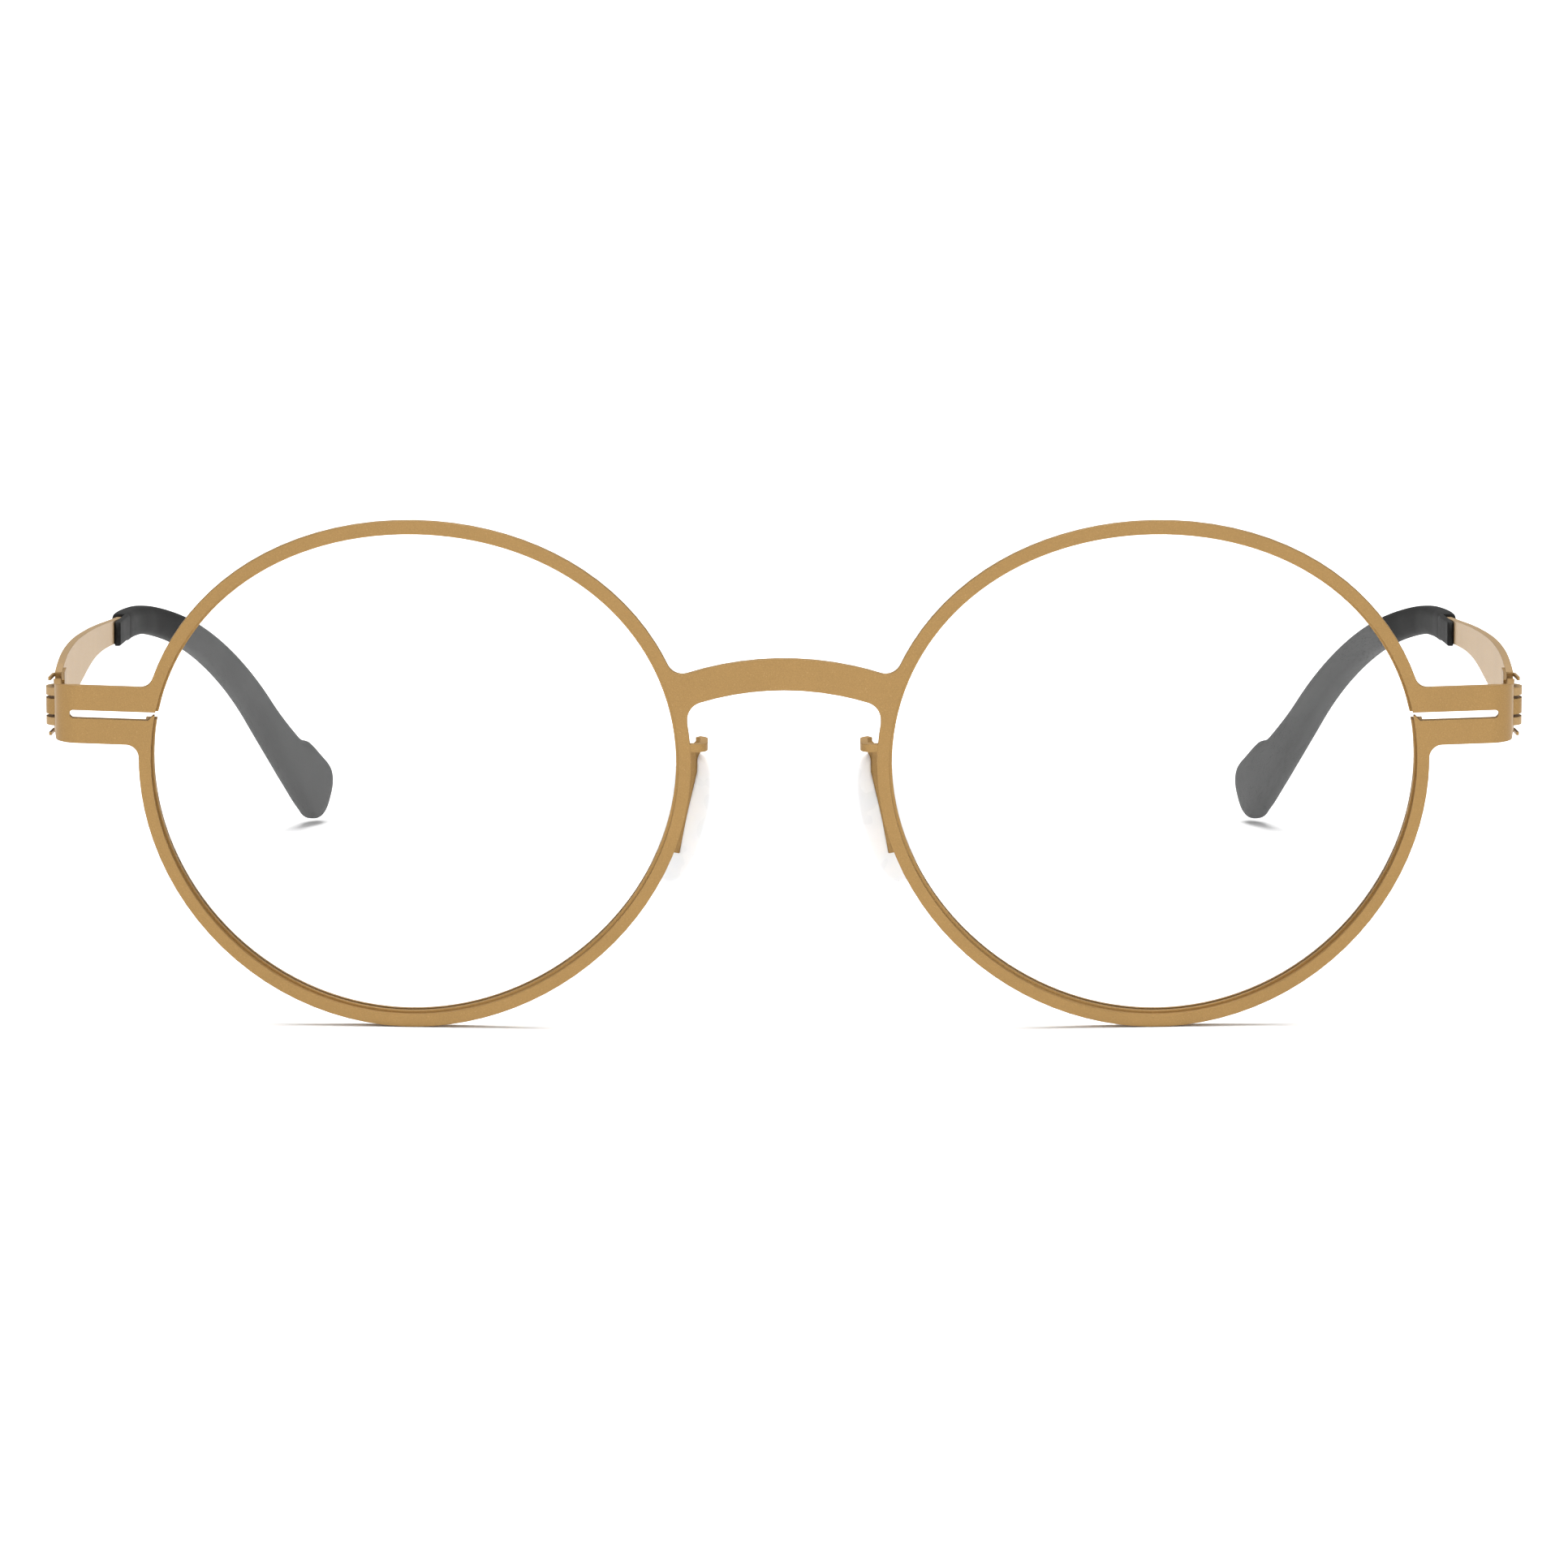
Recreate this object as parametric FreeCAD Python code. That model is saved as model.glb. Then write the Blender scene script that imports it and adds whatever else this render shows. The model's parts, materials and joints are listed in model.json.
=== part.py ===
"""Screwless sheet-metal eyeglasses frame: a stamped front, two open temples, spring clips and rubber tips.

Units are millimetres. +Z is up, the front looks along -Y, the temples run back along +Y and the frame
stands on the bottoms of its two rims and the ends of its two tips. The origin is on that table, under the
middle of the frame's box. The front is drawn in a frame of its own, with its zero at the middle of the
bridge's front face and at the height of the lens centres, and is then leaned forward by the front's lean.
Every paired piece is drawn on the right side, at positive X, and mirrored to make the left one.
"""

import FreeCAD, Part

import math
import os

V = FreeCAD.Vector

# ---- sheet stock and the front's general form --------------------------------------------------------
sheet = 0.70                # thickness of the front's and the temples' sheet
front_curve = 400.0         # radius that the whole front is rolled to, about an upright axis
front_lean = 5.0            # degrees that the top of the front leans forward as the frame stands

# ---- rims --------------------------------------------------------------------------------------------
rim_gap = 17.50             # between the two rims at the nose, over their outsides
rim_mean = 25.17            # mean outside radius of a rim
rim_oval = 0.86             # how much wider than tall the rim is
rim_tilt = 0.18             # how far the oval is turned
rim_square = 0.29           # how square its shoulders are
rim_skew = 0.06             # how far the shoulders lean
rim_width = 1.15            # width of the rim's front face
rim_points = 48             # points that the rim's curve is drawn through

# ---- eyewire behind the front sheet, and the lens ----------------------------------------------------
eyewire_depth = 1.30        # from the sheet's rear face to the eyewire's rear face
eyewire_inset = 0.35        # the eyewire's outside stands this far inside the rim's outside
eyewire_lip = 0.26          # the eyewire's opening stands this far inside the rim's opening
groove_depth = 0.50
groove_width = 0.70
lens_thickness = 1.10
bevel_clearance = 0.06      # between the lens and the eyewire, all round

# ---- bridge ------------------------------------------------------------------------------------------
bridge_top = 11.15          # top of the bridge above the lens centres
bridge_height = 2.98        # height of the bridge at its middle
bridge_top_radius = 29.5
bridge_under_radius = 26.4
arch_overlap = 0.30         # the nose arch cuts this far past the rims' outsides
bridge_corner = 1.70        # radius of the arch's upper corners
bridge_fillet = 1.50        # between the bridge's top and the rims
bridge_run = 3.00           # how far the bridge's blank runs into each rim

# ---- lugs, slots and legs ----------------------------------------------------------------------------
lug_length = 8.91           # from a rim's mean outside to the hinge axis
lug_middle = 4.685          # middle of the lug above the lens centres
lug_height = 5.53
lug_fillet = 1.20
slot_height = 0.78
slot_rise = 0.025           # the slot's middle above the lug's middle
slot_stop = 1.57            # the slot ends this far inside the hinge axis
hook_height = 0.48          # the lower branch's end rises this much, to close the rim's mouth
hook_width = 1.10
hook_slope = 0.12           # fall of the hook's top towards the lens
leg_bend = 2.50             # outside radius where the lug turns back into the leg
leg_splay = 6.0             # degrees that a leg runs outwards on its way back

# ---- hinge -------------------------------------------------------------------------------------------
hinge_back = 12.20          # hinge axis behind the bridge's front face
hinge_middle = 4.25         # middle of the hinge above the lens centres
leg_end_height = 4.84       # height of the leg at the hinge bar
window_clearance = 0.25     # from the curled claws to the window's front edge
rail_clearance = 0.125      # from the stack of claws to the window's upper and lower edges
hinge_clearance = 0.05      # radial, between the bar and the curled claws
claw_height = 0.775         # of the temple's upper and lower claws
claw_gap = 0.30             # between a claw and the clip's roll
claw_stack = 3.65           # over the two claws
claw_neck = 0.80            # overlap of a claw's neck with the temple's sheet
temple_setback = 1.60       # temple sheet's front edge behind the hinge axis

# ---- spring clip -------------------------------------------------------------------------------------
clip_sheet = 0.25
clip_plate_length = 2.40
ear_height = 0.32
ear_clearance = 0.08        # between the leg's edge and the ear that passes over it
ear_spread = 0.42           # half the width of the ear's back
ear_outer_reach = 2.05      # outer flange, from the ear's back forwards
ear_inner_reach = 3.20      # inner flange, from the ear's back forwards
ear_flare = 0.27            # outwards turn of the flange ends
swing_clearance = 0.15      # from the ears' longest corner to the start of the leg's taper

# ---- temple ------------------------------------------------------------------------------------------
temple_reach = 151.7        # rearmost reach of a tip behind the bridge's front face
taper_start = 20.0          # where the temple starts to run slightly inwards, behind the front
temple_taper = 0.69         # degrees of that run
taper_radius = 200.0
curl_length = 62.4          # from the start of the inward curl to the rearmost reach
curl_radius = 60.1
curl_angle = 19.1
bend_length = 54.5          # from the start of the downward bend to the rearmost reach
bend_fall = 1.83            # middle line at the start of the bend, below the hinge's middle
bend_radius = 60.0
approach_angle = 2.79       # slope of the temple before the bend
drop_angle = 39.17          # slope of the tip
core_height = 1.60          # of the sheet inside the tip
core_end = 12.0             # the sheet stops this far before the tip's end
# edges of the open sheet: share of the way from its front end to the bend, height above the hinge
temple_top_edge = [(0.058, 3.60), (0.135, 3.90), (0.313, 3.42), (0.534, 2.12), (0.778, 0.36)]
temple_low_edge = [(0.091, -1.57), (0.246, -0.76), (0.424, -0.28), (0.557, -0.64), (0.778, -2.00)]

# ---- rubber tip --------------------------------------------------------------------------------------
tip_length = 76.7           # from the rubber's front end to the rearmost reach
tip_wall = 0.66             # rubber on the inner face of the sheet, at the front end
tip_plate_length = 12.0     # of the rubber that lies on the inner face alone, before it closes round

# ---- pad arm and nose pad ----------------------------------------------------------------------------
arm_height = 0.75           # of the strip that leaves the rim
arm_top = 2.98              # its top above the lens centres
arm_stand = 1.60            # nose side of the strip from the rim's outside
arm_back = 3.20             # the strip's rear run behind the bridge's front face
arm_bend = 0.70             # middle-line radius of its bends
blade_angle = 37.0          # plan angle of blade and pad from the frame's width
blade_start = 0.74          # nose edge of the blade from the arm's elbow
blade_width = 1.80
blade_end = -8.50           # lower end of the blade from the lens centres
blade_kink = -0.40          # height where the blade starts to slope outwards
blade_slope = 11.4
blade_shoulder = 1.10       # rise and run of the bevel on the blade's upper corner
pad_width = 6.65
pad_height = 13.70
pad_thickness = 2.20
pad_edge = 0.85             # rounding of the pad's edges
pad_along = 2.70            # pad's middle from the arm's elbow, along the blade
pad_middle = -5.35          # pad's middle from the lens centres
pad_tilt = 20.0
slot_clearance = 0.02       # between blade and pad

# ---- derived places ----------------------------------------------------------------------------------
lens_centre = rim_gap / 2 + rim_mean + rim_oval + rim_skew
lean_angle = math.radians(front_lean)
lowest_rim = rim_mean - rim_oval + rim_square
lens_height = lowest_rim * math.cos(lean_angle) - lens_centre**2 / (2 * front_curve) * math.sin(lean_angle)
rim_side = lens_centre + rim_mean
hinge_side = rim_side + lug_length
lens_opening = rim_width + eyewire_lip
bar_radius = sheet / 2
claw_inside = bar_radius + hinge_clearance
claw_outside = claw_inside + sheet
clip_back = hinge_back + claw_outside + clip_sheet / 2
lug_top = lug_middle + lug_height / 2
lug_bottom = lug_middle - lug_height / 2
slot_middle = lug_middle + slot_rise
curl_back = temple_reach - curl_length
bend_back = temple_reach - bend_length
tall = 80.0                 # longer than any piece is tall, for cutting prisms
deep = 60.0                 # deeper than the front, for cutting prisms
past = 1.0                  # how far a cutter runs past what it cuts


# ---- small helpers -----------------------------------------------------------------------------------
def wire_of(edges):
    return Part.Wire(Part.__sortEdges__(edges))


def prism_y(wire):
    """Solid whose front view is the wire, drawn at y = 0 and carried through the whole front."""
    face = Part.Face(wire)
    face.translate(V(0, -deep / 3, 0))
    return face.extrude(V(0, deep, 0))


def polygon_xz(points):
    corners = [V(x, 0, z) for x, z in points]
    return Part.makePolygon(corners + corners[:1])


def bent_strip(points, radii, thickness):
    """Plan outline of a strip of sheet along a polyline, with a middle-line radius at each inner corner."""
    line = [V(x, y, 0) for x, y in points]
    half = thickness / 2
    along = (line[1] - line[0]).normalize()
    last = {side: line[0] + V(-along.y, along.x, 0) * half * side for side in (1, -1)}
    start = dict(last)
    sides = {1: [], -1: []}
    for before, corner, after, radius in zip(line, line[1:], line[2:], radii):
        a = (corner - before).normalize()
        b = (after - corner).normalize()
        turn = math.atan2(a.x * b.y - a.y * b.x, a.dot(b))
        inward = 1 if turn > 0 else -1
        setback = radius * math.tan(abs(turn) / 2)
        centre = corner - a * setback + V(-a.y, a.x, 0) * radius * inward
        middle = centre + (corner - centre).normalize() * radius
        for side in sides:
            r = radius - half * side * inward
            first, mid, end = [
                centre + (p - centre).normalize() * r
                for p in (corner - a * setback, middle, corner + b * setback)
            ]
            sides[side] += [Part.makeLine(last[side], first), Part.Arc(first, mid, end).toShape()]
            last[side] = end
    along = (line[-1] - line[-2]).normalize()
    for side in sides:
        end = line[-1] + V(-along.y, along.x, 0) * half * side
        sides[side].append(Part.makeLine(last[side], end))
        last[side] = end
    caps = [Part.makeLine(start[1], start[-1]), Part.makeLine(last[1], last[-1])]
    return Part.Face(wire_of(sides[1] + sides[-1] + caps))


def upright(face, low, high):
    face.translate(V(0, 0, low))
    return face.extrude(V(0, 0, high - low))


def box(x0, x1, y0, y1, z0, z1):
    return Part.makeBox(x1 - x0, y1 - y0, z1 - z0, V(x0, y0, z0))


def lean(shape):
    """Takes a shape from the front's own frame to where it stands on the table."""
    turned = shape.copy()
    turned.rotate(V(0, 0, 0), V(1, 0, 0), front_lean)
    turned.translate(V(0, 0, lens_height))
    return turned


def lean_point(x, y, z):
    across = y * math.cos(lean_angle) - z * math.sin(lean_angle)
    up = y * math.sin(lean_angle) + z * math.cos(lean_angle)
    return V(x, across, up + lens_height)


def mirrored(shape):
    return shape.mirror(V(0, 0, 0), V(1, 0, 0))


def turned_line(y, start, gentle, steep, radius):
    """How far a line has come down at y: a gentle slope up to start, a round bend, then a steep slope."""
    gentle, steep = math.radians(gentle), math.radians(steep)
    end = start + radius * (math.sin(steep) - math.sin(gentle))
    if y <= start:
        return (y - start) * math.tan(gentle)
    turned = math.asin(math.sin(gentle) + (min(y, end) - start) / radius)
    return radius * (math.cos(gentle) - math.cos(turned)) + max(0.0, y - end) * math.tan(steep)


# ---- the front ---------------------------------------------------------------------------------------
def rim_curve(inset):
    """Closed outline of a rim: a circle with a small oval and a three-sided wave, made smaller by inset."""
    points = []
    for i in range(rim_points):
        a = 2 * math.pi * i / rim_points
        r = rim_mean - inset + rim_oval * math.cos(2 * a) + rim_tilt * math.sin(2 * a)
        r += rim_skew * math.cos(3 * a) + rim_square * math.sin(3 * a)
        points.append(V(lens_centre - r * math.cos(a), 0, r * math.sin(a)))
    curve = Part.BSplineCurve()
    curve.interpolate(Points=points, PeriodicFlag=True)
    return Part.Wire(curve.toShape())


def rolled_layer(front, back):
    """The space between two depths behind the front's rolled face."""
    axis_low = V(0, front_curve, -tall / 2)
    outer = Part.makeCylinder(front_curve - front, tall, axis_low)
    inner = Part.makeCylinder(front_curve - back, tall, axis_low)
    near = box(-tall, tall, -past, deep, -tall / 2, tall / 2)
    return outer.cut(inner).common(near)


def leg_bend_frame():
    """Bend's centre, and the ways from it to where the bend starts, to its middle and to where it ends."""
    splay = math.radians(leg_splay)
    along = V(math.sin(splay), math.cos(splay), 0)
    outward = V(math.cos(splay), -math.sin(splay), 0)
    beside_hinge = V(hinge_side, hinge_back, 0) - outward * (leg_bend - sheet / 2)
    roll = V(0, front_curve, 0)
    away = beside_hinge - roll
    run = away.dot(along)
    length = run + math.sqrt(run**2 - away.dot(away) + (front_curve - leg_bend) ** 2)
    centre = beside_hinge - along * length
    out = (centre - roll).normalize()
    return centre, out, (out + outward).normalize(), outward


def rolled_strip():
    """Plan of the blank: the rolled front, an outside bend at each end and two straight legs."""
    centre, out, half_way, outward = leg_bend_frame()
    leg_end = V(hinge_side, hinge_back, 0) + V(-outward.y, outward.x, 0) * bar_radius
    edges = []
    ends = []
    for depth in (0.0, sheet):
        start, mid, end = [centre + way * (leg_bend - depth) for way in (out, half_way, outward)]
        rear = leg_end + outward * (sheet / 2 - depth)
        right = [Part.Arc(start, mid, end).toShape(), Part.makeLine(end, rear)]
        edges += right + [mirrored(e) for e in right]
        edges.append(Part.Arc(V(-start.x, start.y, 0), V(0, depth, 0), start).toShape())
        ends.append(rear)
    cap = Part.makeLine(ends[0], ends[1])
    edges += [cap, mirrored(cap)]
    return upright(Part.Face(wire_of(edges)), -tall / 2, tall / 2)


def is_through(edge):
    """True for an edge that runs straight from front to back."""
    a, b = edge.Vertexes[0].Point, edge.Vertexes[-1].Point
    return abs(a.x - b.x) < 1e-4 and abs(a.z - b.z) < 1e-4 and abs(a.y - b.y) > 1.0


def same_line(a, b):
    p, q = a.Vertexes[0].Point, b.Vertexes[0].Point
    return abs(p.x - q.x) < 1e-3 and abs(p.z - q.z) < 1e-3


def arched_block(crown, radius, half_width, foot):
    """Front view of a block with an arched top and square sides down to its foot."""
    side = crown - radius + math.sqrt(radius**2 - half_width**2)
    shoulder = [V(s * half_width, 0, side) for s in (-1, 1)]
    corner = [V(s * half_width, 0, foot) for s in (-1, 1)]
    return prism_y(
        wire_of(
            [
                Part.Arc(shoulder[0], V(0, 0, crown), shoulder[1]).toShape(),
                Part.makeLine(shoulder[1], corner[1]),
                Part.makeLine(corner[1], corner[0]),
                Part.makeLine(corner[0], shoulder[0]),
            ]
        )
    )


def bridge_prism():
    """Front view of the bridge: an arched bar over the nose, run well into both rims."""
    arch_side = rim_gap / 2 + arch_overlap
    foot = lug_middle - past
    block = arched_block(bridge_top, bridge_top_radius, arch_side + bridge_run, foot)
    hole = arched_block(bridge_top - bridge_height, bridge_under_radius, arch_side, foot - past)
    corners = [e for e in hole.Edges if is_through(e) and e.CenterOfMass.z > foot]
    return block.cut(hole.makeFillet(bridge_corner, corners))


def lug_prism():
    """Front view of a lug and of the leg behind it."""
    inside = rim_side - 2 * rim_width
    outside = hinge_side + sheet + past
    points = [(inside, lug_bottom), (outside, lug_bottom), (outside, lug_top), (inside, lug_top)]
    return prism_y(polygon_xz(points))


def front_prism():
    """Front view of the whole blank before its openings: rims, bridge and lugs with filleted joins."""
    half = [prism_y(rim_curve(0)), lug_prism()]
    whole = bridge_prism().multiFuse(half + [mirrored(s) for s in half]).removeSplitter()
    lug_joins = []
    bridge_joins = []
    for edge in whole.Edges:
        if not is_through(edge):
            continue
        p = edge.Vertexes[0].Point
        on_lug = min(abs(p.z - lug_top), abs(p.z - lug_bottom)) < 1e-3
        if on_lug and abs(p.x) < hinge_side:
            lug_joins.append(edge)
        elif abs(p.x) < lens_centre and p.z > lug_top:
            bridge_joins.append(edge)
    whole = whole.makeFillet(lug_fillet, lug_joins)
    joins = [e for e in whole.Edges if is_through(e) and any(same_line(e, b) for b in bridge_joins)]
    return whole.makeFillet(bridge_fillet, joins)


def slot_prism():
    """The slot that splits a lug, round at its outer end and open into the rim, below a closing hook."""
    r = slot_height / 2
    tip = hinge_side - slot_stop
    end = tip - r
    mouth = rim_side - rim_width
    inner = mouth - rim_width
    low, high = slot_middle - r, slot_middle + r
    outline = wire_of(
        [
            Part.Arc(V(end, 0, low), V(tip, 0, slot_middle), V(end, 0, high)).toShape(),
            Part.makeLine(V(end, 0, high), V(inner, 0, high)),
            Part.makeLine(V(inner, 0, high), V(inner, 0, low)),
            Part.makeLine(V(inner, 0, low), V(end, 0, low)),
        ]
    )
    hook = [
        (mouth + hook_width, low - past / 10),
        (mouth + hook_width / 2, low + hook_height),
        (inner, low + hook_height - hook_slope),
        (inner, low - past / 10),
    ]
    return prism_y(outline).cut(prism_y(polygon_xz(hook)))


def leg_taper():
    """Cutters that narrow a leg from the lug's height to the parallel end that the clip's ears swing over."""
    centre, _, half_way, _ = leg_bend_frame()
    ear_side = ear_spread + ear_flare + clip_sheet / 2
    ear_swing = math.hypot(ear_side, ear_inner_reach - (clip_back - hinge_back))
    start = centre.y + half_way.y * leg_bend
    parallel = hinge_back - ear_swing - swing_clearance
    rear = hinge_back + 2 * past
    cutters = []
    for way, edge in ((1, lug_top), (-1, lug_bottom)):
        end = hinge_middle + way * leg_end_height / 2
        far = way * tall / 2
        profile = [(start, edge), (parallel, end), (rear, end), (rear, far), (start, far)]
        corners = [V(hinge_side - leg_bend, y, z) for y, z in profile]
        outline = Part.makePolygon(corners + corners[:1])
        cutters.append(Part.Face(outline).extrude(V(leg_bend + 2 * past, 0, 0)))
    return cutters


def hinge_window():
    """Window that leaves a rail above and below and room for the curled claws to turn."""
    front = hinge_back - claw_outside - window_clearance
    half = claw_stack / 2 + rail_clearance
    inside, outside = hinge_side - 2 * past, hinge_side + 2 * past
    return box(inside, outside, front, hinge_back + past, hinge_middle - half, hinge_middle + half)


def hinge_bar():
    low = hinge_middle - leg_end_height / 2
    return Part.makeCylinder(bar_radius, leg_end_height, V(hinge_side, hinge_back, low))


def blade_frame():
    """The pad arm's elbow, the way along the blade in plan and the way that the blade's front face looks."""
    a = math.radians(blade_angle)
    elbow = V(rim_gap / 2 - arm_stand + sheet / 2, arm_back, 0)
    return elbow, V(math.cos(a), math.sin(a), 0), V(math.sin(a), -math.cos(a), 0)


def blade_face():
    """Outline of the blade on its middle plane: a bevelled shoulder and a stem that slopes outwards."""
    elbow, along, _ = blade_frame()
    run = math.tan(math.radians(blade_slope)) * (blade_kink - blade_end) / along.x
    tab = blade_start - sheet / 2
    outer = blade_start + blade_width
    outline = [
        (tab, arm_top),
        (tab + blade_shoulder, arm_top - blade_shoulder),
        (outer, arm_top - 2 * blade_shoulder),
        (outer, blade_kink),
        (outer + run, blade_end),
        (blade_start + run, blade_end),
        (blade_start, blade_kink),
        (blade_start, arm_top - arm_height),
        (tab, arm_top - arm_height),
    ]
    points = [elbow + along * u + V(0, 0, z) for u, z in outline]
    return Part.Face(Part.makePolygon(points + points[:1]))


def pad_arm():
    """Strip that leaves the rim towards the nose, folds back into a U and ends in a blade for the pad."""
    elbow, along, front = blade_frame()
    root = rim_gap / 2 + rim_width / 2
    face_y = sheet / 2 + root**2 / (2 * front_curve)
    end = elbow + along * blade_start
    path = [(root, face_y), (elbow.x, face_y), (elbow.x, elbow.y), (end.x, end.y)]
    strip = upright(bent_strip(path, [arm_bend, arm_bend], sheet), arm_top - arm_height, arm_top)
    blade = blade_face()
    blade.translate(front * (sheet / 2))
    return strip.fuse(blade.extrude(front * -sheet))


def front_sheet():
    body = rolled_strip().common(front_prism())
    cutters = [prism_y(rim_curve(rim_width)), slot_prism(), hinge_window()] + leg_taper()
    body = body.cut(cutters + [mirrored(s) for s in cutters])
    additions = [hinge_bar(), pad_arm()]
    body = body.multiFuse(additions + [mirrored(s) for s in additions])
    return body.removeSplitter()


# ---- eyewire and lens --------------------------------------------------------------------------------
def eyewire():
    """Grooved ring behind the rim, split in line with the slot so that the slot's spring grips the lens."""
    ring = prism_y(rim_curve(eyewire_inset)).cut(prism_y(rim_curve(lens_opening)))
    ring = ring.common(rolled_layer(sheet, sheet + eyewire_depth))
    middle = sheet + eyewire_depth / 2
    groove = prism_y(rim_curve(lens_opening - groove_depth))
    groove = groove.common(rolled_layer(middle - groove_width / 2, middle + groove_width / 2))
    half = slot_height / 2
    inside, outside = rim_side - 3 * rim_width, rim_side + 3 * rim_width
    gap = box(inside, outside, 0, deep, slot_middle - half, slot_middle + half)
    return ring.cut([groove, gap])


def demo_lens():
    """Clear plano lens: a body just inside the eyewire and a thin edge that sits in its groove."""
    middle = sheet + eyewire_depth / 2
    half = lens_thickness / 2
    layer = rolled_layer(middle - half, middle + half)
    body = prism_y(rim_curve(lens_opening + bevel_clearance)).common(layer)
    half = groove_width / 2 - bevel_clearance
    tongue = prism_y(rim_curve(lens_opening - groove_depth + bevel_clearance))
    tongue = tongue.common(rolled_layer(middle - half, middle + half))
    return body.fuse(tongue).removeSplitter()


# ---- nose pad ----------------------------------------------------------------------------------------
def nose_pad():
    """Oval silicone pad with rounded edges, and an open channel in its front that the blade lies in."""
    elbow, along, front = blade_frame()
    oval = Part.Ellipse(V(0, 0, 0), pad_height / 2, pad_width / 2).toShape()
    pad = Part.Face(Part.Wire(oval)).extrude(V(0, 0, pad_thickness))
    pad.translate(V(0, 0, -pad_thickness / 2))
    rims = [e for e in pad.Edges if isinstance(e.Curve, Part.Ellipse)]
    pad = pad.makeFillet(pad_edge, rims)
    pad.rotate(V(0, 0, 0), V(0, 0, 1), 90 + pad_tilt)
    pad.rotate(V(0, 0, 0), V(1, 0, 0), 90)
    pad.rotate(V(0, 0, 0), V(0, 0, 1), blade_angle)
    pad.translate(elbow + along * pad_along - front * ((pad_thickness - sheet) / 2) + V(0, 0, pad_middle))
    channel = blade_face().makeOffset2D(slot_clearance, join=2)
    channel.translate(front * -(sheet / 2 + slot_clearance))
    return pad.cut(channel.extrude(front * (sheet + past)))


# ---- temple ------------------------------------------------------------------------------------------
def temple_side(y):
    """Distance of the temple's middle plane from the middle of the frame, at a distance behind the front."""
    taper = (curl_back - taper_start) * math.tan(math.radians(temple_taper))
    return hinge_side - max(0.0, taper + turned_line(y, curl_back, temple_taper, curl_angle, curl_radius))


def temple_plan():
    """Plan of the temple sheet: straight from the hinge, a slight taper, then the curl round the head."""
    gentle, steep = math.radians(temple_taper), math.radians(curl_angle)
    corner_y = curl_back + curl_radius * math.tan((steep - gentle) / 2) * math.cos(gentle)
    corner_x = hinge_side - (corner_y - taper_start) * math.tan(gentle)
    far = temple_reach + 10 * past
    path = [
        (hinge_side, hinge_back),
        (hinge_side, taper_start),
        (corner_x, corner_y),
        (corner_x - (far - corner_y) * math.tan(steep), far),
    ]
    return upright(bent_strip(path, [taper_radius, curl_radius], sheet), -tall / 2, tall)


def path_height(y):
    """Height of the tip's middle line: a gentle slope, a round bend and a steep straight drop."""
    start = lean_point(0, hinge_back, hinge_middle).z - bend_fall
    return start - turned_line(y, bend_back, approach_angle, drop_angle, bend_radius)


def across_temple(face):
    """Solid whose side view is the face, drawn at x = 0 and carried past the temple on both sides."""
    face.translate(V(past + sheet, 0, 0))
    return face.extrude(V(hinge_side, 0, 0))


def spline(points):
    curve = Part.BSplineCurve()
    curve.interpolate(points)
    return curve.toShape()


def temple_outline():
    """Side view of the open sheet: hinge end, a deeper shoulder, and a taper back to the tip's core."""
    hinge = lean_point(0, hinge_back, hinge_middle)
    half = leg_end_height / 2 + ear_clearance + ear_height
    rear = bend_back + core_height
    edges = []
    ends = []
    for way, edge in ((1, temple_top_edge), (-1, temple_low_edge)):
        front = lean_point(0, hinge_back + temple_setback, hinge_middle + way * half)
        end = V(0, rear, path_height(rear) + way * core_height / 2)
        length = rear - front.y
        points = [V(0, front.y + share * length, hinge.z + height) for share, height in edge]
        edges.append(spline([front] + points + [end]))
        ends.append((front, end))
    edges += [Part.makeLine(a, b) for a, b in zip(*ends)]
    return Part.Face(wire_of(edges))


def core_outline():
    """Side view of the sheet's tail inside the rubber tip."""
    gentle, steep = math.radians(approach_angle), math.radians(drop_angle)
    setback = bend_radius * math.tan((steep - gentle) / 2)
    corner = (bend_back + setback * math.cos(gentle), path_height(bend_back) - setback * math.sin(gentle))
    bend_end = bend_back + bend_radius * (math.sin(steep) - math.sin(gentle))
    first = bend_back - past
    last = max(temple_reach - core_end * math.cos(steep), bend_end + past)
    path = [(first, path_height(first)), corner, (last, path_height(last))]
    face = bent_strip(path, [bend_radius], core_height)
    face.rotate(V(0, 0, 0), V(1, 1, 1), 120)
    return face


def curled_ring(low, high, neck_side, neck_sheet, neck_end):
    """Ring curled round the hinge bar, with the neck that joins it to its sheet behind the bar."""
    centre = V(hinge_side, hinge_back, low)
    ring = Part.makeCylinder(claw_outside, high - low, centre)
    neck = box(neck_side, neck_side + neck_sheet, hinge_back + claw_inside, neck_end, low, high)
    bore = Part.makeCylinder(claw_inside, high - low + 2 * past, centre - V(0, 0, past))
    return ring.fuse(neck).cut(bore).removeSplitter()


def temple():
    body = across_temple(temple_outline()).fuse(across_temple(core_outline())).common(temple_plan())
    top, low = hinge_middle + claw_stack / 2, hinge_middle - claw_stack / 2
    neck_end = hinge_back + temple_setback + claw_neck
    claws = [
        lean(curled_ring(z, z + claw_height, hinge_side - sheet / 2, sheet, neck_end))
        for z in (top - claw_height, low)
    ]
    return body.multiFuse(claws).removeSplitter()


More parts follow.
